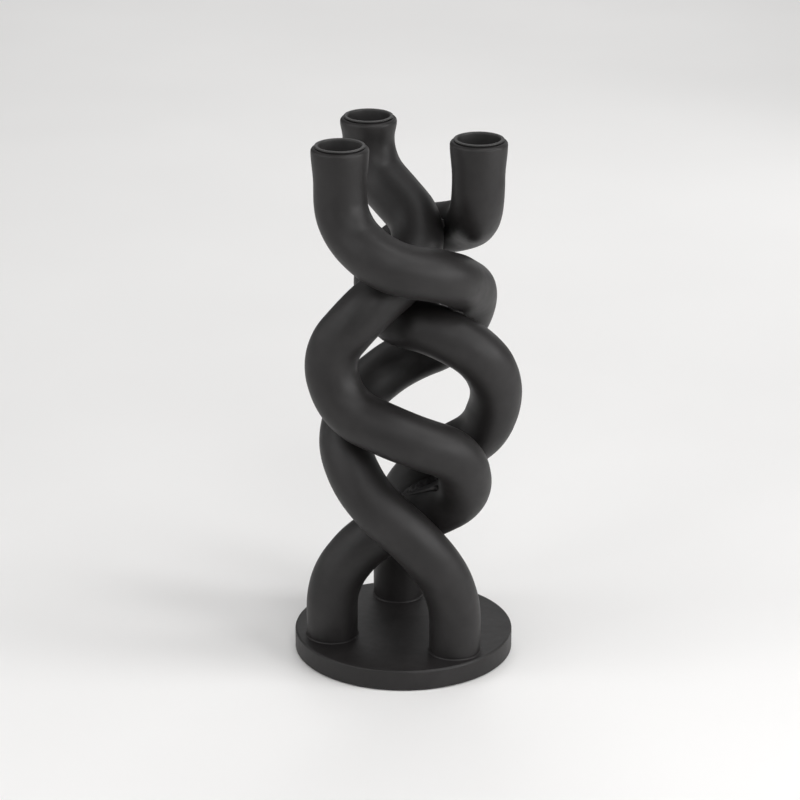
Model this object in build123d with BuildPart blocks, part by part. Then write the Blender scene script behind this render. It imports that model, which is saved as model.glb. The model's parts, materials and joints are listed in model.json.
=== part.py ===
from build123d import *
import math
import os

# A spiral candle holder: three bent strands stand on a round base, wind about each other
# and end upright, each with a lift-out cup for a dinner candle.
# Millimetres, +Z up. The origin is on the table, under the middle of the base.

# Base and felt
base_diameter = 120
base_thickness = 11.5
base_top_rounding = 1.2
base_bottom_rounding = 0.6
felt_diameter = 110
felt_thickness = 2
felt_proud = 0.5
felt_clearance = 0.25

# Strands
strand_diameter = 28
foot_seat_depth = 1
foot_seat_clearance = 0.15
head_diameter = 30.5
side_head_length = 20
back_head_length = 11
head_shoulder = 2
socket_clearance = 0.25
socket_wall = 0.8

# Candle cups
candle_diameter = 22
candle_clearance = 0.25
cup_inside_depth = 15
cup_wall = 0.8
cup_rim_width = 2.1
cup_rim_thickness = 0.8
cup_lip_rounding = 0.6
cup_floor_rounding = 1.5

# Countersunk screws, one into each foot
screw_diameter = 6
screw_length = 25
screw_head_diameter = 12
screw_head_angle = 90
screw_hole_clearance = 0.3
thread_clearance = 0.05
hex_key_size = 4
hex_key_depth = 2.5
drill_tip_room = 2

# Each route runs from the foot to the cup, as corners (across, away from the viewer, up).
# They are shares of the strand's diameter, because strands that cross lie one diameter apart.
left_route_shares = [
    (1.00, -1.15, 0),
    (1.00, -1.15, 1.20),
    (0.35, -1.40, 2.30),
    (-0.65, -1.30, 3.15),
    (-1.20, -0.70, 4.05),
    (-0.95, 0.45, 4.70),
    (0.00, 1.05, 5.25),
    (0.95, 0.85, 5.70),
    (1.40, 0.30, 6.88),
    (0.85, -1.20, 7.68),
    (-0.30, -1.60, 7.95),
    (-1.18, -0.95, 8.58),
    (-1.18, -0.95, 10.12),
]
right_route_shares = [
    (-0.10, 1.55, 0),
    (-0.10, 1.55, 1.20),
    (0.05, 0.60, 2.70),
    (0.85, 0.50, 3.50),
    (1.55, 0.20, 4.00),
    (1.85, -0.20, 5.00),
    (1.54, -0.66, 5.92),
    (0.58, -0.70, 6.47),
    (-0.30, 0.20, 6.38),
    (-0.55, 0.90, 7.15),
    (0.30, 1.40, 7.75),
    (1.25, 0.85, 8.05),
    (1.40, -0.45, 8.73),
    (1.40, -0.45, 10.10),
]
back_route_shares = [
    (-1.40, -0.40, 0),
    (-1.40, -0.40, 1.15),
    (-0.70, -0.35, 2.05),
    (0.45, -0.30, 2.50),
    (1.25, -0.70, 3.10),
    (1.10, -1.25, 4.10),
    (0.05, -1.55, 4.55),
    (-1.15, -1.05, 4.95),
    (-1.48, -0.90, 6.00),
    (-0.77, -1.08, 6.93),
    (0.10, -0.42, 7.50),
    (0.35, 0.25, 8.20),
    (-0.67, 1.25, 9.15),
    (-0.67, 1.25, 10.07),
]

# An arc takes this share of a run beside it, and more of an end run, which has one arc only.
bend_share = 0.47
end_bend_share = 0.97

# Sizes that follow from those above
base_top = felt_proud + base_thickness
felt_recess_roof = felt_thickness
strand_radius = strand_diameter / 2
cup_bore_radius = candle_diameter / 2 + candle_clearance
cup_outer_radius = cup_bore_radius + cup_wall
cup_rim_radius = cup_bore_radius + cup_rim_width
cup_outside_depth = cup_inside_depth - cup_rim_thickness + cup_wall
socket_radius = cup_outer_radius + socket_clearance
socket_depth = cup_outside_depth + socket_clearance
screw_radius = screw_diameter / 2
screw_head_radius = screw_head_diameter / 2
screw_head_depth = (screw_head_radius - screw_radius) / math.tan(math.radians(screw_head_angle / 2))
screw_reach = felt_recess_roof + screw_length

os.makedirs("parts", exist_ok=True)


def upright_plane(point):
    """A plane that stands upright on a point, for the profile of a turned piece."""
    return Plane(point, x_dir=(1, 0, 0), z_dir=(0, -1, 0))


def bend_radii(corners):
    """The largest arc that fits at each corner, from the shorter of the two runs beside it."""
    runs = [after - before for before, after in zip(corners, corners[1:])]
    shares = [end_bend_share] + [bend_share] * (len(runs) - 2) + [end_bend_share]
    room = [run.length * share for run, share in zip(runs, shares)]
    turns = [math.radians(before.get_angle(after)) for before, after in zip(runs, runs[1:])]
    return [min(room[i], room[i + 1]) / math.tan(turn / 2) for i, turn in enumerate(turns)]


def make_strand(label, route_shares, head_length):
    """One strand: a bent round bar, swelling to an upright head bored for the cup."""
    corners = [Vector(*share) * strand_diameter + Vector(0, 0, base_top) for share in route_shares]
    foot = corners[0] - Vector(0, 0, foot_seat_depth)
    mouth = corners[-1]
    head_start = mouth - Vector(0, 0, head_length)
    corners = [foot, *corners[1:-1], head_start]
    swell_end = head_length - head_shoulder
    with BuildPart() as strand:
        with BuildLine() as route:
            FilletPolyline(*corners, radius=bend_radii(corners))
        with BuildSketch(Plane(foot)):
            Circle(strand_radius)
        sweep()
        with BuildSketch(upright_plane(head_start)):
            with BuildLine():
                side = Bezier(
                    (strand_radius, 0),
                    (strand_radius, swell_end / 3),
                    (head_diameter / 2, swell_end * 2 / 3),
                    (head_diameter / 2, swell_end),
                )
                shoulder = RadiusArc(
                    side @ 1, (head_diameter / 2 - head_shoulder, head_length), -head_shoulder
                )
                Polyline(shoulder @ 1, (0, head_length), (0, 0), side @ 0)
            make_face()
        revolve(axis=Axis(head_start, (0, 0, 1)))
        with Locations(mouth):
            Cylinder(
                socket_radius + socket_wall,
                socket_depth + socket_wall,
                align=(Align.CENTER, Align.CENTER, Align.MAX),
            )
            Hole(socket_radius, depth=socket_depth)
        with Locations(Location(foot, (180, 0, 0))):
            Hole(screw_radius + thread_clearance, depth=screw_reach + drill_tip_room - foot.Z)
    strand.part.label = label
    export_step(strand.part, f"parts/{label}.step")
    print(label, "arc radii", [round(radius, 1) for radius in bend_radii(corners)])
    print(label, "length", round(route.wire().length, 1), "volume", round(strand.part.volume))
    return foot, mouth


def make_candle_cup(label, mouth):
    """One thin drawn cup, hung by its rolled rim on the mouth of a strand's head."""
    with BuildPart() as cup:
        with BuildSketch(upright_plane(mouth)):
            with BuildLine():
                Polyline(
                    (0, -cup_outside_depth),
                    (cup_outer_radius, -cup_outside_depth),
                    (cup_outer_radius, 0),
                    (cup_rim_radius, 0),
                    (cup_rim_radius, cup_rim_thickness),
                    (cup_bore_radius, cup_rim_thickness),
                    (cup_bore_radius, cup_wall - cup_outside_depth),
                    (0, cup_wall - cup_outside_depth),
                    close=True,
                )
            make_face()
        revolve(axis=Axis(mouth, (0, 0, 1)))
        rings = cup.edges().filter_by(GeomType.CIRCLE)
        top_ring = rings.group_by(Axis.Z)[-1]
        floor_ring = rings.group_by(Axis.Z)[0]
        fillet(top_ring, cup_lip_rounding)
        fillet(floor_ring, cup_floor_rounding)
    cup.part.label = label
    export_step(cup.part, f"parts/{label}.step")


strands = [
    ("left", left_route_shares, side_head_length),
    ("right", right_route_shares, side_head_length),
    ("back", back_route_shares, back_head_length),
]
feet = []
for side_name, shares, own_head_length in strands:
    strand_foot, strand_mouth = make_strand(f"{side_name}_strand", shares, own_head_length)
    make_candle_cup(f"{side_name}_candle_cup", strand_mouth)
    feet.append(strand_foot)

# The base disc, with a seat and a countersunk hole for each foot, and a recess for the felt.
with BuildPart() as base_disc:
    with BuildSketch(Plane.XY.offset(felt_proud)):
        Circle(base_diameter / 2)
    extrude(amount=base_thickness)
    fillet(base_disc.edges().sort_by(Axis.Z)[-1], base_top_rounding)
    fillet(base_disc.edges().sort_by(Axis.Z)[0], base_bottom_rounding)
    with BuildSketch(Plane.XY.offset(felt_proud)):
        Circle(felt_diameter / 2 + felt_clearance)
    extrude(amount=felt_recess_roof - felt_proud, mode=Mode.SUBTRACT)
    with Locations(*feet):
        Cylinder(
            strand_radius + foot_seat_clearance,
            foot_seat_depth,
            align=(Align.CENTER, Align.CENTER, Align.MIN),
            mode=Mode.SUBTRACT,
        )
    with Locations(*[Location((foot.X, foot.Y, felt_recess_roof), (180, 0, 0)) for foot in feet]):
        CounterSinkHole(
            screw_radius + screw_hole_clearance,
            screw_head_radius,
            depth=base_top - felt_recess_roof,
            counter_sink_angle=screw_head_angle,
        )
base_disc.part.label = "base_disc"
export_step(base_disc.part, "parts/base_disc.step")

# Three countersunk screws with a hexagon socket, their heads level with the recess's roof.
with BuildPart() as foot_screws:
    for foot in feet:
        head_face = Vector(foot.X, foot.Y, felt_recess_roof)
        with BuildSketch(upright_plane(head_face)):
            with BuildLine():
                Polyline(
                    (0, 0),
                    (screw_head_radius, 0),
                    (screw_radius, screw_head_depth),
                    (screw_radius, screw_length),
                    (0, screw_length),
                    close=True,
                )
            make_face()
        revolve(axis=Axis(head_face, (0, 0, 1)))
        with BuildSketch(Plane(head_face, z_dir=(0, 0, 1))):
            RegularPolygon(hex_key_size / 2, 6, major_radius=False)
        extrude(amount=hex_key_depth, mode=Mode.SUBTRACT)
foot_screws.part.label = "foot_screws"
export_step(foot_screws.part, "parts/foot_screws.step")

# The felt pad, glued in its recess and standing a little proud of the rim.
with BuildPart() as felt_pad:
    with BuildSketch(Plane.XY):
        Circle(felt_diameter / 2)
    extrude(amount=felt_thickness)
felt_pad.part.label = "felt_pad"
export_step(felt_pad.part, "parts/felt_pad.step")
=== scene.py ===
import json
import math

import bmesh
import bpy
from mathutils import Matrix, Vector


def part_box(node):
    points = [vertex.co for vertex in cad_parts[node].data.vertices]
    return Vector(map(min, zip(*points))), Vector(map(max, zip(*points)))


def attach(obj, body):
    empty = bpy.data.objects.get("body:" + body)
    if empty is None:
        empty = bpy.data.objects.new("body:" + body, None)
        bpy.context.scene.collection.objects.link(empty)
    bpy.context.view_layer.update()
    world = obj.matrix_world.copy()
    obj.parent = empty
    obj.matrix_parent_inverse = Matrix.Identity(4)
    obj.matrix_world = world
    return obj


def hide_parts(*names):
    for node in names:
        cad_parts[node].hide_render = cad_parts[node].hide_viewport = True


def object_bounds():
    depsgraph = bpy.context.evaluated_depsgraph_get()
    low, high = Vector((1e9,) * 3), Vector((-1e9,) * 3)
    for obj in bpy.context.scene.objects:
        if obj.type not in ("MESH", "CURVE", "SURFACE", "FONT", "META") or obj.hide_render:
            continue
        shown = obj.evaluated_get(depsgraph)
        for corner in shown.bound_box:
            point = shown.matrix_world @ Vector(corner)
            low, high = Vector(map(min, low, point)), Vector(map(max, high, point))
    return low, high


bl_info = {
    "name": "Spiral candle holder",
    "version": (1, 0, 0),
    "blender": (4, 5, 0),
    "location": "View3D > Sidebar > Candle holder",
    "description": "Models and paints a candle holder of three intertwined bars on a round base",
    "category": "Add Mesh",
}

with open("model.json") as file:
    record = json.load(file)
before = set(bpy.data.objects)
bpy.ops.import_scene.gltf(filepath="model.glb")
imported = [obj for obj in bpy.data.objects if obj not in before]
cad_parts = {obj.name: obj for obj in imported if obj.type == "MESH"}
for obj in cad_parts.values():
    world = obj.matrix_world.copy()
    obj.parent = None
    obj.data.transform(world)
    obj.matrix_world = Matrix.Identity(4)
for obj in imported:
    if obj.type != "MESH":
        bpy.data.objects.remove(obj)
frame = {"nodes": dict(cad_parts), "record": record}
CAD_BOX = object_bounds()


def mm(value):
    """Millimetres as Blender's metres."""
    return value / 1000


# Vertices closer than the first length are merged, and the second is the slack in picking them.
MERGE_GAP = mm(0.001)
SLACK = mm(0.01)

BASE_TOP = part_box("base_disc")[1].z
CUP_LOW, CUP_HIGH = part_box("left_candle_cup")
FELT_LOW, FELT_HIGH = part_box("felt_pad")
CANDLE_BORE = next(m for m in frame["record"]["mounts"] if m["name"] == "candle_left")

# Each route runs from the foot to the cup, as corners (across, away from the viewer, up).
# They are shares of the bar's diameter, because bars that cross lie one diameter apart.
LEFT_ROUTE_SHARES = [
    (1.00, -1.15, 0),
    (1.00, -1.15, 1.20),
    (0.35, -1.40, 2.30),
    (-0.65, -1.30, 3.15),
    (-1.20, -0.70, 4.05),
    (-0.95, 0.45, 4.70),
    (0.00, 1.05, 5.25),
    (0.95, 0.85, 5.70),
    (1.40, 0.30, 6.88),
    (0.85, -1.20, 7.68),
    (-0.30, -1.60, 7.95),
    (-1.18, -0.95, 8.58),
    (-1.18, -0.95, 10.12),
]
RIGHT_ROUTE_SHARES = [
    (-0.10, 1.55, 0),
    (-0.10, 1.55, 1.20),
    (0.05, 0.60, 2.70),
    (0.85, 0.50, 3.50),
    (1.55, 0.20, 4.00),
    (1.85, -0.20, 5.00),
    (1.54, -0.66, 5.92),
    (0.58, -0.70, 6.47),
    (-0.30, 0.20, 6.38),
    (-0.55, 0.90, 7.15),
    (0.30, 1.40, 7.75),
    (1.25, 0.85, 8.05),
    (1.40, -0.45, 8.73),
    (1.40, -0.45, 10.10),
]
BACK_ROUTE_SHARES = [
    (-1.40, -0.40, 0),
    (-1.40, -0.40, 1.15),
    (-0.70, -0.35, 2.05),
    (0.45, -0.30, 2.50),
    (1.25, -0.70, 3.10),
    (1.10, -1.25, 4.10),
    (0.05, -1.55, 4.55),
    (-1.15, -1.05, 4.95),
    (-1.48, -0.90, 6.00),
    (-0.77, -1.08, 6.93),
    (0.10, -0.42, 7.50),
    (0.35, 0.25, 8.20),
    (-0.67, 1.25, 9.15),
    (-0.67, 1.25, 10.07),
]
ROUTE_SHARES = {
    "left": LEFT_ROUTE_SHARES,
    "right": RIGHT_ROUTE_SHARES,
    "back": BACK_ROUTE_SHARES,
}

# An arc takes this share of a run beside it, and more of an end run, which has one arc only.
BEND_SHARE = 0.47
END_BEND_SHARE = 0.97

# Faces along the swell, the shoulder and the socket of a head
SWELL_STEPS = 8
SHOULDER_STEPS = 7
SOCKET_STEPS = 6

# The trim is sunk into what carries it, so that no slit shows under it.
SEAM_BURIED = mm(0.35)
BEAD_IN_FOOT = mm(0.4)
BEAD_IN_BASE = mm(0.3)
# The bead bulges to this share of its width and height.
BEAD_BULGE_SHARE = 0.75

# A seam's section, as shares of its width and thickness: points across it, then its hollow edge.
SEAM_SHARES = (-1, -0.75, -0.4, 0, 0.4, 0.75, 1)
HOLLOW_OUT_SHARE = 0.96
HOLLOW_THICK_SHARE = 0.35
# Its width at either end, as a share of its width in the middle
SEAM_END_SHARE = 0.35

# Rings of faces up a cup's outside, down its inside and across its floor, as shares of each
CUP_OUTSIDE_SHARES = (0.7, 0.45, 0.2)
CUP_INSIDE_SHARES = (0.25, 0.5, 0.75)
CUP_FLOOR_SHARES = (0.7, 0.4, 0.15)

# Rings of faces across the felt, as shares of its radius
FELT_SHARES = (0.15, 0.3, 0.45, 0.6, 0.72, 0.82, 0.9, 0.96)

# The ridge that the flash leaves on the back bar: places in millimetres, each with a radius.
FLASH_RIDGE = [
    ((-1.5, -7.0, 91.6), 0.5),
    ((-0.3, -7.7, 92.1), 0.7),
    ((3.0, -9.6, 93.8), 0.8),
    ((6.8, -11.8, 95.8), 0.9),
    ((10.6, -14.4, 97.9), 1.0),
    ((14.3, -17.3, 100.2), 1.2),
    ((16.6, -19.8, 101.9), 1.8),
    ((17.8, -21.6, 102.9), 2.1),
    ((18.6, -23.0, 103.6), 1.2),
]
RIDGE_FACES = 8

# Where each soft box stands: degrees round from the camera to its right, and degrees up.
SOFT_BOXES = {
    "right_side": (80, 14),
    "right_front": (50, 14),
    "right_middle": (75, 40),
    "right_high": (60, 66),
    "front_low": (0, 14),
    "front_middle": (12, 41),
    "left_front": (-50, 14),
    "left_side": (-80, 14),
    "left_near_middle": (-40, 40),
    "left_middle": (-75, 40),
    "left_rear": (-110, 14),
    "back_right": (150, 14),
    "back_middle": (180, 40),
}
BOX_DISTANCE = 1.1
BOX_WIDTH = 0.36
FLOOR_BOX_PLACE = (0, 1.8, 1.7)
FLOOR_BOX_AIM = (0, 1.4, 0)
FLOOR_BOX_SIZE = (2.0, 1.6)
# A grid on this box keeps most of its light off the object.
FLOOR_BOX_SPREAD = math.radians(90)

FLOOR_WIDTH = 12
FLOOR_CUTS = 11
# The darker clouds in the floor's paper, as a share of its colour
PAPER_SHADE_SHARE = 0.97

# The camera's sensor in millimetres, and how far it sees in metres
SENSOR_WIDTH = 36
CAMERA_REACH = 50


def length_prop(name, description, default):
    """A size in metres, shown in the file's own length unit."""
    return bpy.props.FloatProperty(
        name=name, description=description, default=default, min=0, precision=5, unit="LENGTH"
    )


def colour_prop(name, description, default):
    """A colour kept as the six-digit sRGB code that a paint chart gives."""
    return bpy.props.StringProperty(name=name, description=description, default=default)


def power_prop(name, description, default):
    """The power of one soft box in watts."""
    return bpy.props.FloatProperty(
        name=name, description=description, default=default, min=0, unit="POWER"
    )


class StrandSizes(bpy.types.PropertyGroup):
    """Sizes of the bars and their heads"""

    diameter: length_prop("Bar diameter", "Thickness of the bent round bars", mm(28))
    head_diameter: length_prop("Head diameter", "Width of the swollen ends", mm(30.5))
    side_head_length: length_prop("Side head length", "Swell of the two side bars", mm(20))
    back_head_length: length_prop("Back head length", "Swell of the back bar", mm(11))
    shoulder: length_prop("Shoulder", "Radius round the mouth of a head", mm(2))
    seat_depth: length_prop("Seat depth", "How far a foot stands in the base", mm(1))
    socket_play: length_prop("Socket play", "Room between a cup and its socket", mm(0.25))
    socket_chamfer: length_prop("Socket chamfer", "Bevel at the mouth of the socket", mm(0.3))
    ring_step: length_prop("Ring step", "Distance between rings of faces", mm(1.8))
    casting_wave: length_prop("Casting wave", "Unevenness that the casting keeps", mm(0.3))
    wave_size: length_prop("Wave size", "Length of one such wave", mm(26))
    wave_fade: length_prop("Wave fade", "Length over which the waves die away", mm(12))
    plain_foot: length_prop("Plain foot", "Length of a foot without waves", mm(3))
    plain_head: length_prop("Plain head", "Length of a head without waves", mm(28))
    ring_faces: bpy.props.IntProperty(
        name="Faces round a bar", description="Faces in one ring", default=80, min=16
    )


class CupSizes(bpy.types.PropertyGroup):
    """Sizes of a candle cup"""

    bore: length_prop("Bore radius", "Radius a candle fits", mm(CANDLE_BORE["dims"]["r_mm"]))
    wall: length_prop("Wall", "Sheet thickness of the drawn cup", mm(0.8))
    rim_radius: length_prop(
        "Rim radius", "Outside of the rolled rim", (CUP_HIGH.x - CUP_LOW.x) / 2
    )
    rim_height: length_prop("Rim height", "Crest of the rim above the mouth", mm(1.25))
    rim_gap: length_prop("Rim gap", "How far the rim's edge stands off the mouth", mm(0.55))
    rim_seat: length_prop("Rim seat", "Ring of the rim that rests on the mouth", mm(0.15))
    rim_bend: length_prop("Rim bend", "Small bend at the rim's outer edge", mm(0.15))
    lip: length_prop("Lip", "From the bore to the rim's crest", mm(0.9))
    lip_depth: length_prop("Lip depth", "From the rim's crest to the straight bore", mm(1.3))
    inside_depth: length_prop("Inside depth", "From the rim's crest to the floor", mm(15.45))
    floor_radius: length_prop("Floor rounding", "Bend between wall and floor", mm(1.5))


class TrimSizes(bpy.types.PropertyGroup):
    """Sizes of the beads, the seams and the felt"""

    bead_width: length_prop("Bead width", "Paint bead round a foot, outwards", mm(0.7))
    bead_height: length_prop("Bead height", "Paint bead round a foot, upwards", mm(0.6))
    bead_wave: length_prop("Bead wave", "Unevenness of the bead", mm(0.2))
    bead_wave_size: length_prop("Bead wave size", "Length of one such wave", mm(7))
    line_step: length_prop("Line step", "Distance between places tested for seams", mm(1))
    seam_reach: length_prop("Seam reach", "Gap that the metal still bridges", mm(1.9))
    seam_width: length_prop("Seam width", "Half width of a seam between two bars", mm(3.4))
    seam_wave: length_prop("Seam wave", "Unevenness of a seam and of the ridge", mm(0.15))
    seam_wave_size: length_prop("Seam wave size", "Length of one such wave", mm(3))
    flash_reach: length_prop("Flash reach", "Gap that the wrinkled flash bridges", mm(4.5))
    flash_width: length_prop("Flash width", "Half width of the wrinkled flash", mm(8.5))
    flash_crack: length_prop("Flash crack", "Groove between the flash and a bar", mm(1.3))
    flash_wave: length_prop("Flash wave", "Depth of the flash's wrinkles", mm(0.5))
    flash_wave_size: length_prop("Flash wave size", "Width of one wrinkle", mm(2.5))
    felt_radius: length_prop("Felt radius", "Radius of the pad", (FELT_HIGH.x - FELT_LOW.x) / 2)
    felt_thickness: length_prop(
        "Felt thickness", "Thickness of the pad", FELT_HIGH.z - FELT_LOW.z
    )
    felt_edge: length_prop("Felt edge", "Rounding of the pad's cut edge", mm(0.5))


class PaintColours(bpy.types.PropertyGroup):
    """Colours of the finishes and of the floor"""

    black: colour_prop("Black paint", "Main colour of the powder coat", "1b1919")
    black_dusty: colour_prop("Dusty paint", "Paint where fine dust lies", "252323")
    cup_black: colour_prop("Cup paint", "Thinner, smoother paint on the cups", "2f2e2e")
    cup_dusty: colour_prop("Dusty cup paint", "Cup paint where fine dust lies", "3b3a3a")
    felt_black: colour_prop("Felt", "Main colour of the felt", "1a1919")
    felt_fleck: colour_prop("Felt fleck", "Fibres that catch the light", "302e2d")
    zinc: colour_prop("Zinc", "Bright plating on the screws", "b9bcc0")
    zinc_dull: colour_prop("Dull zinc", "Plating that has clouded over", "8f9296")
    floor: colour_prop("Floor", "Pale studio floor", "f6f5f4")


class StudioSettings(bpy.types.PropertyGroup):
    """Powers of the lights, and the camera"""

    right_side: power_prop("Right side", "Low on the right", 2.8)
    right_front: power_prop("Right front", "Low, right of the camera", 2.6)
    right_middle: power_prop("Right middle", "Half way up on the right", 1.55)
    right_high: power_prop("Right high", "High on the right", 2.6)
    front_low: power_prop("Front low", "Level with the camera", 0.6)
    front_middle: power_prop("Front middle", "Above the camera", 1.9)
    left_front: power_prop("Left front", "Low, left of the camera", 1.1)
    left_side: power_prop("Left side", "Low on the left", 0.75)
    left_near_middle: power_prop("Left near", "Half way up, left of the camera", 1.2)
    left_middle: power_prop("Left middle", "Half way up on the left", 1.65)
    left_rear: power_prop("Left rear", "Low, behind on the left", 0.6)
    back_right: power_prop("Back right", "Low, behind on the right", 0.6)
    back_middle: power_prop("Back middle", "Half way up, behind", 0.8)
    far_floor: power_prop("Far floor", "Gridded box over the floor behind", 8)
    surround: bpy.props.FloatProperty(
        name="Surround", description="Brightness of the white room", default=0.15, min=0
    )
    camera_distance: length_prop("Camera distance", "In front of the base's middle", 1.643)
    camera_height: length_prop("Camera height", "Above the table", 0.771)
    camera_side: bpy.props.FloatProperty(
        name="Camera offset",
        description="To the right of the base's middle",
        default=mm(-1.914),
        unit="LENGTH",
    )
    camera_tilt: bpy.props.FloatProperty(
        name="Camera tilt",
        description="Angle below level",
        default=math.radians(20.845),
        unit="ROTATION",
    )
    camera_lens: bpy.props.FloatProperty(
        name="Lens", description="Focal length in millimetres", default=146.3, min=1
    )


# Shaping in edit mode


def start_ring(name, place, radius, faces):
    """A circle of edges at its place and size, selected in edit mode."""
    bpy.ops.object.select_all(action="DESELECT")
    bpy.ops.mesh.primitive_circle_add(vertices=faces, radius=radius, location=place)
    piece = bpy.context.object
    piece.name = name
    piece.data.name = name
    bpy.ops.object.transform_apply(location=True, rotation=True, scale=True)
    bpy.ops.object.mode_set(mode="EDIT")
    bpy.ops.mesh.select_all(action="SELECT")
    return piece


def push(offset):
    """Extrudes what is selected by an offset."""
    bpy.ops.mesh.extrude_region_move(TRANSFORM_OT_translate={"value": tuple(offset)})


def widen(ratio, centre):
    """Scales a level ring about its own centre."""
    bpy.ops.transform.resize(value=(ratio, ratio, 1), center_override=tuple(centre))


def turn_profile(centre, profile):
    """Takes the selected level ring along a profile of (radius, height) above the centre."""
    radius, height = profile[0]
    for next_radius, next_height in profile[1:]:
        push((0, 0, next_height - height))
        widen(next_radius / radius, centre + Vector((0, 0, next_height)))
        radius, height = next_radius, next_height


def close_pole():
    """Closes the selected ring to a point."""
    bpy.ops.mesh.extrude_region_move()
    bpy.ops.mesh.merge(type="CENTER")


def pick(piece, wanted):
    """Selects the vertices whose place passes the test."""
    bpy.ops.mesh.select_mode(type="VERT")
    bpy.ops.mesh.select_all(action="DESELECT")
    bpy.ops.object.mode_set(mode="OBJECT")
    for vertex in piece.data.vertices:
        vertex.select = wanted(vertex.co)
    bpy.ops.object.mode_set(mode="EDIT")


def finish_mesh(piece, smooth_degrees):
    """Merges doubles, turns the faces outwards and shades the piece smooth."""
    bpy.ops.mesh.select_all(action="SELECT")
    bpy.ops.mesh.remove_doubles(threshold=MERGE_GAP)
    bpy.ops.mesh.normals_make_consistent(inside=False)
    bpy.ops.object.mode_set(mode="OBJECT")
    bpy.ops.object.shade_smooth_by_angle(angle=math.radians(smooth_degrees))


def round_corner(start, corner, end, steps):
    """Points of a rounded corner, without its start, for a profile."""
    points = []
    for step in range(1, steps + 1):
        t = step / steps
        points.append(
            tuple(
                (1 - t) ** 2 * a + 2 * t * (1 - t) * b + t**2 * c
                for a, b, c in zip(start, corner, end)
            )
        )
    return points


def ripple(piece, name, size, height, group="", rest=0.5):
    """Moves the surface in and out by soft noise; where the noise equals rest, it stays."""
    noise = bpy.data.textures.new(name, type="CLOUDS")
    noise.noise_scale = size
    noise.noise_depth = 1
    bpy.context.view_layer.objects.active = piece
    modifier = piece.modifiers.new(name, "DISPLACE")
    modifier.texture = noise
    modifier.texture_coords = "LOCAL"
    modifier.strength = height * 2
    modifier.mid_level = rest
    modifier.vertex_group = group
    bpy.ops.object.modifier_apply(modifier=modifier.name)


def hand_over(piece, body, material):
    """Gives a finished piece its material and the body it moves with."""
    piece.data.materials.clear()
    piece.data.materials.append(material)
    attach(piece, body)


# Where the bars run


def corner_place(shares, sizes):
    """Where a corner of a route lies, in metres; routes start on top of the base."""
    return Vector(shares) * sizes.diameter + Vector((0, 0, BASE_TOP))


def head_length_of(side, sizes):
    """The swell of a bar's head, which is shorter on the back bar."""
    return sizes.back_head_length if side == "back" else sizes.side_head_length


def route_moves(side, sizes):
    """The straight runs and the arcs of a bar, from its foot to the start of its head."""
    corners = [corner_place(shares, sizes) for shares in ROUTE_SHARES[side]]
    corners[0] = corners[0] - Vector((0, 0, sizes.seat_depth))
    corners[-1] = corners[-1] - Vector((0, 0, head_length_of(side, sizes)))
    runs = [after - before for before, after in zip(corners, corners[1:])]
    room = [run.length * BEND_SHARE for run in runs]
    room[0] = runs[0].length * END_BEND_SHARE
    room[-1] = runs[-1].length * END_BEND_SHARE
    moves = []
    place = corners[0]
    for i, corner in enumerate(corners[1:-1]):
        way_in = runs[i].normalized()
        way_out = runs[i + 1].normalized()
        turn = way_in.angle(way_out)
        cut = min(room[i], room[i + 1])
        radius = cut / math.tan(turn / 2)
        arc_start = corner - way_in * cut
        moves.append(("run", place, arc_start))
        inwards = (way_out - way_in * math.cos(turn)).normalized()
        moves.append(("arc", arc_start + inwards * radius, way_in.cross(inwards), turn, radius))
        place = corner + way_out * cut
    moves.append(("run", place, corners[-1]))
    return moves


def steps_for(length, step):
    """How many steps of about this size make up a length."""
    return max(1, round(length / step))


def centre_line(moves, step):
    """Points along the middle of a bar."""
    line = []
    for move in moves:
        if move[0] == "run":
            start, end = move[1], move[2]
            count = steps_for((end - start).length, step)
            line += [start.lerp(end, i / count) for i in range(count)]
            place = end
        else:
            centre, axis, turn, radius = move[1:]
            count = steps_for(turn * radius, step)
            swings = [Matrix.Rotation(turn * i / count, 3, axis) for i in range(count)]
            line += [centre + swing @ (place - centre) for swing in swings]
    return line


def near_runs(line_a, line_b, limit):
    """Stretches where two bars nearly touch: middles, ways across and centre distances."""
    runs = [[]]
    for point_a in line_a:
        point_b = min(line_b, key=lambda other: (other - point_a).length_squared)
        across = point_b - point_a
        if across.length < limit:
            runs[-1].append(((point_a + point_b) / 2, across.normalized(), across.length))
        elif runs[-1]:
            runs.append([])
    # One or two places alone are too short for a seam.
    return [run for run in runs if len(run) > 2]


# Materials and finishes


def linear(code):
    """A six-digit sRGB colour as the linear values that a shader takes."""
    channels = [int(code[i : i + 2], 16) / 255 for i in (0, 2, 4)]
    # These are the sRGB standard's own numbers; the last channel is full opacity.
    return [c / 12.92 if c <= 0.04045 else ((c + 0.055) / 1.055) ** 2.4 for c in channels] + [1]


def add_node(tree, kind, sockets, ramp=()):
    """Adds a node: each socket takes a value or a link, and a ramp its (share, colour) stops."""
    node = tree.nodes.new(kind)
    for name, value in sockets.items():
        if isinstance(value, bpy.types.Node):
            value = value.outputs[0]
        if isinstance(value, bpy.types.NodeSocket):
            tree.links.new(value, node.inputs[name])
        else:
            node.inputs[name].default_value = value
    for stop, (share, colour) in enumerate(ramp):
        node.color_ramp.elements[stop].position = share
        node.color_ramp.elements[stop].color = colour
    return node


def per_size(size):
    """The noise scale whose features are about this many metres."""
    return 1 / size


def new_material(name):
    """A material without a surface yet, and the piece's own coordinates in metres."""
    material = bpy.data.materials.new(name)
    material.use_nodes = True
    material.node_tree.nodes.clear()
    place = add_node(material.node_tree, "ShaderNodeTexCoord", {}).outputs["Object"]
    return material, place


def give_surface(material, sockets):
    """Ends a material with its shader and what the shader's sockets take."""
    tree = material.node_tree
    shader = add_node(tree, "ShaderNodeBsdfPrincipled", sockets)
    add_node(tree, "ShaderNodeOutputMaterial", {"Surface": shader})
    return material


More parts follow.
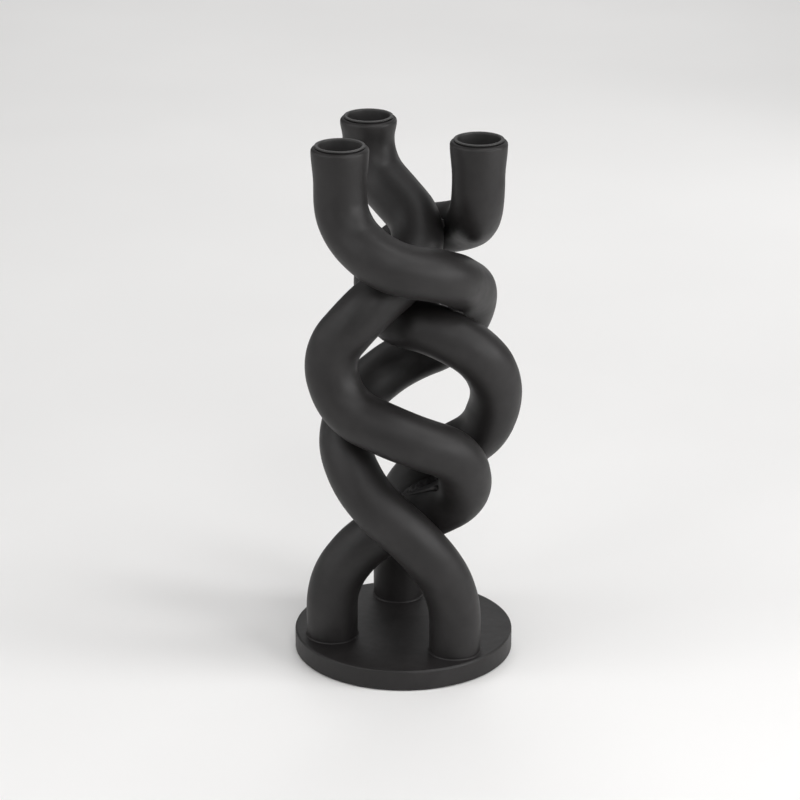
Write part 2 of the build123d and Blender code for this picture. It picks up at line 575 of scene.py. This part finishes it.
def powder_coat(name, paints, finer=False):
    """Matte black powder coat on cast metal, or the thinner, smoother coat of the cups."""
    material, place = new_material(name)
    tree = material.node_tree
    # In millimetres
    peel_size, peel_depth, casting_depth = (0.9, 0.005, 0.02) if finer else (1.3, 0.008, 0.04)
    # The casting keeps a slow unevenness that makes the long highlights wander.
    casting = add_node(
        tree, "ShaderNodeTexNoise", {"Vector": place, "Scale": per_size(mm(9)), "Detail": 1}
    )
    uneven = add_node(tree, "ShaderNodeBump", {"Height": casting, "Distance": mm(casting_depth)})
    # Sprayed powder melts to a skin with a fine orange peel, which softens their edges.
    peel = add_node(
        tree, "ShaderNodeTexNoise", {"Vector": place, "Scale": per_size(mm(peel_size))}
    )
    relief = add_node(
        tree, "ShaderNodeBump", {"Height": peel, "Distance": mm(peel_depth), "Normal": uneven}
    )
    # Handling and dust leave the black a little greyer in broad patches.
    patches = add_node(
        tree,
        "ShaderNodeTexNoise",
        {"Vector": place, "Scale": per_size(mm(22)), "Detail": 3, "Roughness": 0.6},
    )
    main = linear(paints.cup_black if finer else paints.black)
    dusty = linear(paints.cup_dusty if finer else paints.black_dusty)
    colour = add_node(tree, "ShaderNodeValToRGB", {"Fac": patches}, [(0.45, main), (0.75, dusty)])
    # The coat is a little duller in spots a few millimetres wide.
    spots = add_node(
        tree, "ShaderNodeTexNoise", {"Vector": place, "Scale": per_size(mm(4)), "Detail": 3}
    )
    dullness = add_node(
        tree,
        "ShaderNodeMapRange",
        {"Value": spots, "From Min": 0.3, "From Max": 0.7, "To Min": 0.47, "To Max": 0.53},
    )
    # The matting agent in the powder takes some of the skin's mirror away.
    return give_surface(
        material,
        {
            "Base Color": colour,
            "Roughness": dullness,
            "Normal": relief,
            "Specular IOR Level": 0.42,
        },
    )


def wool_felt(name, paints):
    """Black wool felt, matted from fine fibres."""
    material, place = new_material(name)
    tree = material.node_tree
    # Single fibres catch the light as pale flecks. They are too fine to show, so they are drawn
    # a third of a millimetre wide.
    fibres = add_node(
        tree,
        "ShaderNodeTexNoise",
        {"Vector": place, "Scale": per_size(mm(0.35)), "Detail": 4, "Roughness": 0.7},
    )
    dark, fleck = linear(paints.felt_black), linear(paints.felt_fleck)
    colour = add_node(tree, "ShaderNodeValToRGB", {"Fac": fibres}, [(0.35, dark), (0.8, fleck)])
    # Fibres mat into tufts a few millimetres wide, which gives the cloudy look.
    tufts = add_node(
        tree, "ShaderNodeTexNoise", {"Vector": place, "Scale": per_size(mm(3)), "Detail": 3}
    )
    cloudy = add_node(tree, "ShaderNodeBump", {"Height": tufts, "Distance": mm(0.2)})
    relief = add_node(
        tree, "ShaderNodeBump", {"Height": fibres, "Distance": mm(0.1), "Normal": cloudy}
    )
    # Loose fibre ends glow a little where the light grazes them.
    return give_surface(
        material,
        {"Base Color": colour, "Roughness": 0.95, "Normal": relief, "Sheen Weight": 0.25},
    )


def zinc_plate(name, paints):
    """Zinc plating on turned steel screws."""
    material, place = new_material(name)
    tree = material.node_tree
    # Plating clouds over in soft patches between bright and dull.
    clouds = add_node(
        tree, "ShaderNodeTexNoise", {"Vector": place, "Scale": per_size(mm(2.5)), "Detail": 3}
    )
    dull, bright = linear(paints.zinc_dull), linear(paints.zinc)
    colour = add_node(tree, "ShaderNodeValToRGB", {"Fac": clouds}, [(0.35, dull), (0.7, bright)])
    dullness = add_node(
        tree,
        "ShaderNodeMapRange",
        {"Value": clouds, "From Min": 0.3, "From Max": 0.7, "To Min": 0.28, "To Max": 0.45},
    )
    # The tool leaves fine scratches in the head, drawn coarse enough to show.
    scratches = add_node(tree, "ShaderNodeTexNoise", {"Vector": place, "Scale": per_size(mm(0.3))})
    relief = add_node(tree, "ShaderNodeBump", {"Height": scratches, "Distance": mm(0.01)})
    return give_surface(
        material, {"Base Color": colour, "Roughness": dullness, "Normal": relief, "Metallic": 1}
    )


def studio_paper(name, paints):
    """Pale paper of the studio floor."""
    material, place = new_material(name)
    tree = material.node_tree
    # Paper is nearly even: the light falls on it with faint cloudiness only.
    clouds = add_node(tree, "ShaderNodeTexNoise", {"Vector": place, "Scale": per_size(mm(250))})
    pale = linear(paints.floor)
    shade = [channel * PAPER_SHADE_SHARE for channel in pale[:3]] + [1]
    colour = add_node(tree, "ShaderNodeValToRGB", {"Fac": clouds}, [(0.3, shade), (0.7, pale)])
    # Its fibres leave a grain that only a grazing light shows, drawn coarser than it is.
    grain = add_node(tree, "ShaderNodeTexNoise", {"Vector": place, "Scale": per_size(mm(1))})
    relief = add_node(tree, "ShaderNodeBump", {"Height": grain, "Distance": mm(0.02)})
    return give_surface(material, {"Base Color": colour, "Roughness": 0.9, "Normal": relief})


def kept_material(name, make, paints, **details):
    """The named material, made once and shared by the pieces that wear it."""
    return bpy.data.materials.get(name) or make(name, paints, **details)


def coat_paint(scene):
    """The paint that the bars, their seams and the base share."""
    return kept_material("Black powder coat", powder_coat, scene.holder_paint)


# One operator for each piece or group of like pieces


class BendStrands(bpy.types.Operator):
    """Bend the three round bars and bore their heads for the cups"""

    bl_idname = "candleholder.bend_strands"
    bl_label = "Bend the strands"

    def execute(self, context):
        scene = context.scene
        for side in ROUTE_SHARES:
            piece = self.bend(side, scene.holder_strand, scene.holder_cup)
            hand_over(piece, "holder", coat_paint(scene))
            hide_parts(f"{side}_strand")
        return {"FINISHED"}

    def bend(self, side, sizes, cup):
        """One bar from its foot to the bored head."""
        moves = route_moves(side, sizes)
        foot = moves[0][1]
        mouth = corner_place(ROUTE_SHARES[side][-1], sizes)
        piece = start_ring(f"{side}_bar", foot, sizes.diameter / 2, sizes.ring_faces)
        for move in moves:
            if move[0] == "run":
                start, end = move[1], move[2]
                count = steps_for((end - start).length, sizes.ring_step)
                for _ in range(count):
                    push((end - start) / count)
            else:
                centre, axis, turn, radius = move[1:]
                count = steps_for(turn * radius, sizes.ring_step)
                # The spin operator turns the other way round its axis.
                bpy.ops.mesh.spin(
                    steps=count, angle=turn, center=tuple(centre), axis=tuple(-axis)
                )
        turn_profile(mouth, self.head_profile(sizes, cup, head_length_of(side, sizes)))
        close_pole()
        pick(piece, lambda place: place.z < foot.z + SLACK)
        bpy.ops.mesh.edge_face_add()
        finish_mesh(piece, smooth_degrees=35)
        self.fade_waves(piece, foot, mouth, sizes)
        # The metal bulges more than it sinks.
        ripple(piece, "casting_wave", sizes.wave_size, sizes.casting_wave, "waves", rest=0.3)
        return piece

    def head_profile(self, sizes, cup, head_length):
        """From the bar's own ring over the swell and the shoulder, and down the socket."""
        bar = sizes.diameter / 2
        head = sizes.head_diameter / 2
        swell = head_length - sizes.shoulder
        profile = [(bar, -head_length)]
        for step in range(1, SWELL_STEPS + 1):
            t = step / SWELL_STEPS
            profile.append((bar + (head - bar) * t * t * (3 - 2 * t), swell * t - head_length))
        for step in range(1, SHOULDER_STEPS + 1):
            t = math.pi / 2 * step / SHOULDER_STEPS
            inwards = sizes.shoulder * (1 - math.cos(t))
            profile.append((head - inwards, sizes.shoulder * (math.sin(t) - 1)))
        socket = cup.bore + cup.wall + sizes.socket_play
        depth = cup.inside_depth - cup.rim_height + cup.wall + sizes.socket_play
        chamfer = sizes.socket_chamfer
        profile += [(socket + chamfer, 0), (socket, -chamfer)]
        for step in range(1, SOCKET_STEPS + 1):
            profile.append((socket, -chamfer - (depth - chamfer) * step / SOCKET_STEPS))
        profile.append((socket / 2, -depth))
        return profile

    def fade_waves(self, piece, foot, mouth, sizes):
        """The waves die away where the foot is seated and where the head is turned."""
        group = piece.vertex_groups.new(name="waves")
        for vertex in piece.data.vertices:
            above_foot = (vertex.co.z - foot.z - sizes.plain_foot) / sizes.wave_fade
            below_head = ((vertex.co - mouth).length - sizes.plain_head) / sizes.wave_fade
            group.add([vertex.index], max(0, min(1, above_foot, below_head)), "REPLACE")


class TurnCups(bpy.types.Operator):
    """Turn one rolled-rim candle cup and set a copy in each head"""

    bl_idname = "candleholder.turn_cups"
    bl_label = "Turn the candle cups"

    def execute(self, context):
        scene = context.scene
        strand = scene.holder_strand
        paint = kept_material("Black cup paint", powder_coat, scene.holder_paint, finer=True)
        pattern = self.turn(scene.holder_cup, strand.ring_faces)
        for side, route_shares in ROUTE_SHARES.items():
            piece = bpy.data.objects.new(f"{side}_cup_liner", pattern.data.copy())
            scene.collection.objects.link(piece)
            piece.data.transform(Matrix.Translation(corner_place(route_shares[-1], strand)))
            hand_over(piece, f"{side}_cup", paint)
            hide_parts(f"{side}_candle_cup")
        bpy.data.objects.remove(pattern)
        return {"FINISHED"}

    def turn(self, cup, faces):
        """The cup, with its rim's seat at height zero."""
        outer = cup.bore + cup.wall
        floor_out = cup.rim_height - cup.inside_depth - cup.wall
        floor_in = floor_out + cup.wall
        bend = cup.floor_radius
        start = (outer - bend, floor_out)
        profile = [start]
        profile += round_corner(start, (outer, floor_out), (outer, floor_out + bend), steps=5)
        profile += [(outer, floor_out * share) for share in CUP_OUTSIDE_SHARES]
        # The rim rests beside the wall, and its edge stands clear as a thin dark line.
        seat = outer + cup.rim_seat
        under_rim = (seat + cup.rim_gap / 2, cup.rim_gap)
        profile += [(outer, 0), (seat, 0)]
        profile += round_corner((seat, 0), (seat, cup.rim_gap), under_rim, steps=4)
        profile += [(cup.rim_radius - cup.rim_bend, cup.rim_gap)]
        edge = (cup.rim_radius, cup.rim_gap + cup.rim_bend)
        crest = (cup.bore + cup.lip, cup.rim_height)
        bore_top = (cup.bore, cup.rim_height - cup.lip_depth)
        profile += round_corner(profile[-1], (cup.rim_radius, cup.rim_gap), edge, steps=3)
        profile += round_corner(edge, (cup.rim_radius, cup.rim_height), crest, steps=7)
        profile += round_corner(crest, (cup.bore, cup.rim_height), bore_top, steps=9)
        profile += [(cup.bore, floor_in * share) for share in CUP_INSIDE_SHARES]
        inner_bend = bend - cup.wall
        wall_end = (cup.bore, floor_in + inner_bend)
        floor_start = (cup.bore - inner_bend, floor_in)
        profile += [wall_end]
        profile += round_corner(wall_end, (cup.bore, floor_in), floor_start, steps=4)
        profile += [(cup.bore * share, floor_in) for share in CUP_FLOOR_SHARES]
        piece = start_ring("cup_pattern", (0, 0, floor_out), outer - bend, faces)
        turn_profile(Vector((0, 0, 0)), profile)
        close_pole()
        pick(piece, lambda place: place.z < floor_out + SLACK)
        bpy.ops.mesh.edge_face_add()
        finish_mesh(piece, smooth_degrees=40)
        return piece


class RunSeams(bpy.types.Operator):
    """Run the beads round the feet and the seams where bars touch"""

    bl_idname = "candleholder.run_seams"
    bl_label = "Run the beads and seams"

    def execute(self, context):
        scene = context.scene
        strand = scene.holder_strand
        trim = scene.holder_trim
        bar = strand.diameter / 2
        paint = coat_paint(scene)
        lines = {}
        for side, route_shares in ROUTE_SHARES.items():
            foot = corner_place(route_shares[0], strand)
            piece = self.bead(f"{side}_foot_bead", foot, bar, trim)
            hand_over(piece, "holder", paint)
            lines[side] = centre_line(route_moves(side, strand), trim.line_step)
        for side_a, side_b in (("left", "right"), ("left", "back"), ("right", "back")):
            limit = strand.diameter + trim.seam_reach
            for number, run in enumerate(near_runs(lines[side_a], lines[side_b], limit), 1):
                piece = self.seam(f"{side_a}_{side_b}_seam_{number}", run, bar, trim.seam_width, 0)
                ripple(piece, "seam_wave", trim.seam_wave_size, trim.seam_wave)
                hand_over(piece, "holder", paint)
        run = near_runs(lines["right"], lines["back"], strand.diameter + trim.flash_reach)[0]
        piece = self.seam("wrinkled_flash", run, bar, trim.flash_width, trim.flash_crack)
        ripple(piece, "flash_wrinkles", trim.flash_wave_size, trim.flash_wave)
        hand_over(piece, "holder", paint)
        piece = self.ridge("flash_ridge", FLASH_RIDGE)
        ripple(piece, "ridge_wave", trim.seam_wave_size, trim.seam_wave)
        hand_over(piece, "holder", paint)
        return {"FINISHED"}

    def bead(self, name, foot, bar, trim):
        """A soft bead where the paint has gathered between a foot and the base."""
        inside = bar - BEAD_IN_FOOT
        sunk = -BEAD_IN_BASE
        width, height = trim.bead_width, trim.bead_height
        full = (bar + width * BEAD_BULGE_SHARE, height * BEAD_BULGE_SHARE)
        profile = [(inside, sunk), (bar + width, sunk), (bar + width, 0)]
        profile += round_corner(profile[-1], full, (bar, height), steps=6)
        profile.append((inside, height))
        piece = start_ring(name, foot + Vector((0, 0, sunk)), inside, faces=96)
        turn_profile(foot, profile)
        pick(piece, lambda place: (place.xy - foot.xy).length < inside + SLACK)
        bpy.ops.mesh.bridge_edge_loops()
        finish_mesh(piece, smooth_degrees=60)
        ripple(piece, "bead_wave", trim.bead_wave_size, trim.bead_wave)
        return piece

    # A seam's width and thickness follow the two bars, which no edit-mode operator does, so the
    # rings of the seams and of the ridge are worked out here.

    def seam(self, name, run, bar, half_width, crack):
        """Metal that fills the wedge on both sides of the line where two bars touch."""
        rings = []
        for i, (middle, across, distance) in enumerate(run):
            before, after = run[max(i - 1, 0)][0], run[min(i + 1, len(run) - 1)][0]
            aside = across.cross(after - before).normalized()
            from_end = 1 - abs(2 * i / (len(run) - 1) - 1)
            swell = math.sqrt(from_end * (2 - from_end))
            width = half_width * (SEAM_END_SHARE + (1 - SEAM_END_SHARE) * swell)
            outline = []
            for share in SEAM_SHARES:
                out = share * width
                thick = distance / 2 - math.sqrt(bar**2 - out**2) + SEAM_BURIED
                outline.append((out, thick))
            hollow_out = width * HOLLOW_OUT_SHARE
            hollow_thick = thick * HOLLOW_THICK_SHARE
            other_side = [
                (out, (crack if out > width / 2 else 0) - thick)
                for out, thick in reversed(outline)
            ]
            outline += [(hollow_out, hollow_thick), (hollow_out, -hollow_thick)]
            outline += other_side
            outline += [(-hollow_out, -hollow_thick), (-hollow_out, hollow_thick)]
            rings.append([middle + aside * out + across * thick for out, thick in outline])
        return self.rounded(name, rings)

    def ridge(self, name, points):
        """A round ridge of metal through points of (place in millimetres, radius)."""
        places = [mm(Vector(place)) for place, _ in points]
        rings = []
        for i, (_, radius) in enumerate(points):
            along = places[min(i + 1, len(points) - 1)] - places[max(i - 1, 0)]
            side = along.cross(Vector((0, 0, 1))).normalized() * mm(radius)
            turns = [math.tau * face / RIDGE_FACES for face in range(RIDGE_FACES)]
            rings.append([places[i] + Matrix.Rotation(turn, 3, along) @ side for turn in turns])
        return self.rounded(name, rings)

    def rounded(self, name, rings):
        """A piece skinned over rings of places, closed at both ends and rounded."""
        mesh = bmesh.new()
        rings = [[mesh.verts.new(place) for place in ring] for ring in rings]
        for ring, further in zip(rings, rings[1:]):
            for i in range(len(ring)):
                mesh.faces.new((ring[i - 1], ring[i], further[i], further[i - 1]))
        mesh.faces.new(rings[0])
        mesh.faces.new(rings[-1])
        bmesh.ops.recalc_face_normals(mesh, faces=mesh.faces)
        data = bpy.data.meshes.new(name)
        mesh.to_mesh(data)
        mesh.free()
        piece = bpy.data.objects.new(name, data)
        bpy.context.scene.collection.objects.link(piece)
        bpy.ops.object.select_all(action="DESELECT")
        piece.select_set(True)
        bpy.context.view_layer.objects.active = piece
        rounder = piece.modifiers.new("soft", "SUBSURF")
        rounder.levels = 2
        rounder.render_levels = 2
        bpy.ops.object.modifier_apply(modifier=rounder.name)
        bpy.ops.object.shade_smooth()
        return piece


class CutFelt(bpy.types.Operator):
    """Cut the felt pad under the base"""

    bl_idname = "candleholder.cut_felt"
    bl_label = "Cut the felt pad"

    def execute(self, context):
        scene = context.scene
        trim = scene.holder_trim
        radius = trim.felt_radius
        thick = trim.felt_thickness
        edge = trim.felt_edge
        profile = [(radius * share, 0) for share in FELT_SHARES]
        profile += [(radius - edge, 0)]
        profile += round_corner(profile[-1], (radius, 0), (radius, edge), steps=3)
        profile += [(radius, thick - edge)]
        profile += round_corner(profile[-1], (radius, thick), (radius - edge, thick), steps=3)
        profile += [(radius * share, thick) for share in reversed(FELT_SHARES)]
        inner = profile[0][0]
        piece = start_ring("felt_foot", (0, 0, 0), inner, faces=160)
        turn_profile(Vector((0, 0, 0)), profile)
        close_pole()
        pick(piece, lambda place: place.z < SLACK and place.xy.length < inner + SLACK)
        bpy.ops.mesh.edge_face_add()
        finish_mesh(piece, smooth_degrees=60)
        felt = kept_material("Black wool felt", wool_felt, scene.holder_paint)
        hand_over(piece, "holder", felt)
        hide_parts("felt_pad")
        return {"FINISHED"}


class FinishBase(bpy.types.Operator):
    """Paint the base disc and plate the screws"""

    bl_idname = "candleholder.finish_base"
    bl_label = "Finish the base and screws"

    def execute(self, context):
        scene = context.scene
        zinc = kept_material("Zinc plated steel", zinc_plate, scene.holder_paint)
        for name, material in (("base_disc", coat_paint(scene)), ("foot_screws", zinc)):
            for slot in frame["nodes"][name].material_slots:
                slot.material = material
        return {"FINISHED"}


class SetStudio(bpy.types.Operator):
    """Lay the pale floor and set the soft lights and the camera"""

    bl_idname = "candleholder.set_studio"
    bl_label = "Set the studio"

    def execute(self, context):
        scene = context.scene
        self.lay_floor(scene)
        self.set_lights(scene, scene.holder_studio)
        self.set_camera(scene, scene.holder_studio)
        return {"FINISHED"}

    def lay_floor(self, scene):
        """A level sheet of paper that runs out of the picture on every side."""
        bpy.ops.object.select_all(action="DESELECT")
        bpy.ops.mesh.primitive_plane_add(size=FLOOR_WIDTH, location=(0, 0, 0))
        floor = bpy.context.object
        floor.name = "studio_floor"
        floor.data.name = "studio_floor"
        bpy.ops.object.transform_apply(location=True, rotation=True, scale=True)
        bpy.ops.object.mode_set(mode="EDIT")
        bpy.ops.mesh.select_all(action="SELECT")
        bpy.ops.mesh.subdivide(number_cuts=FLOOR_CUTS)
        bpy.ops.object.mode_set(mode="OBJECT")
        paper = kept_material("Pale studio paper", studio_paper, scene.holder_paint)
        floor.data.materials.append(paper)

    def set_lights(self, scene, studio):
        """The soft boxes round the object, the one over the floor behind, and the white room."""
        middle = Vector((0, 0, CAD_BOX[1].z / 2))
        for name, (round_from_camera, up) in SOFT_BOXES.items():
            turn = math.radians(round_from_camera)
            rise = math.radians(up)
            level = BOX_DISTANCE * math.cos(rise)
            way = (level * math.sin(turn), -level * math.cos(turn), BOX_DISTANCE * math.sin(rise))
            place = middle + Vector(way)
            size = (BOX_WIDTH, BOX_WIDTH)
            self.soft_box(f"{name}_box", place, middle, size, getattr(studio, name))
        over_floor = self.soft_box(
            "far_floor_box",
            Vector(FLOOR_BOX_PLACE),
            Vector(FLOOR_BOX_AIM),
            FLOOR_BOX_SIZE,
            studio.far_floor,
        )
        over_floor.spread = FLOOR_BOX_SPREAD
        world = bpy.data.worlds.new("White room")
        scene.world = world
        world.use_nodes = True
        room = world.node_tree.nodes["Background"]
        room.inputs["Color"].default_value = (1, 1, 1, 1)
        room.inputs["Strength"].default_value = studio.surround

    def soft_box(self, name, place, aim, size, power):
        """A rectangular soft light that looks at what it is aimed at."""
        lamp = bpy.data.lights.new(name, "AREA")
        lamp.shape = "RECTANGLE"
        lamp.size, lamp.size_y = size
        lamp.energy = power
        box = bpy.data.objects.new(name, lamp)
        bpy.context.scene.collection.objects.link(box)
        box.location = place
        box.rotation_euler = (aim - place).to_track_quat("-Z", "Y").to_euler()
        return lamp

    def set_camera(self, scene, studio):
        """The camera in front of the object, tilted down at it."""
        camera = bpy.data.objects.new("camera", bpy.data.cameras.new("camera"))
        scene.collection.objects.link(camera)
        camera.location = (studio.camera_side, -studio.camera_distance, studio.camera_height)
        camera.rotation_euler = (math.pi / 2 - studio.camera_tilt, 0, 0)
        camera.data.lens = studio.camera_lens
        camera.data.sensor_width = SENSOR_WIDTH
        camera.data.clip_end = CAMERA_REACH
        scene.camera = camera
        scene.view_settings.view_transform = "Standard"
        scene.view_settings.look = "None"


STEPS = (BendStrands, TurnCups, RunSeams, CutFelt, FinishBase, SetStudio)

PROPERTIES = {
    "holder_strand": StrandSizes,
    "holder_cup": CupSizes,
    "holder_trim": TrimSizes,
    "holder_paint": PaintColours,
    "holder_studio": StudioSettings,
}


class HolderPanel(bpy.types.Panel):
    """Lists the steps in their order, and below them the sizes and colours that they use"""

    bl_idname = "VIEW3D_PT_candle_holder"
    bl_label = "Spiral candle holder"
    bl_space_type = "VIEW_3D"
    bl_region_type = "UI"
    bl_category = "Candle holder"

    def draw(self, context):
        for step in STEPS:
            self.layout.operator(step.bl_idname)
        for group in PROPERTIES:
            box = self.layout.box()
            settings = getattr(context.scene, group)
            for name in settings.__annotations__:
                box.prop(settings, name)


def register():
    for group in PROPERTIES.values():
        bpy.utils.register_class(group)
    for name, group in PROPERTIES.items():
        setattr(bpy.types.Scene, name, bpy.props.PointerProperty(type=group))
    for step in STEPS:
        bpy.utils.register_class(step)
    bpy.utils.register_class(HolderPanel)


def unregister():
    bpy.utils.unregister_class(HolderPanel)
    for step in reversed(STEPS):
        bpy.utils.unregister_class(step)
    for name in PROPERTIES:
        delattr(bpy.types.Scene, name)
    for group in reversed(PROPERTIES.values()):
        bpy.utils.unregister_class(group)


def main():
    register()
    bpy.ops.candleholder.bend_strands()
    bpy.ops.candleholder.turn_cups()
    bpy.ops.candleholder.run_seams()
    bpy.ops.candleholder.cut_felt()
    bpy.ops.candleholder.finish_base()
    bpy.ops.candleholder.set_studio()
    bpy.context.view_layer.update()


if __name__ == "__main__":
    main()
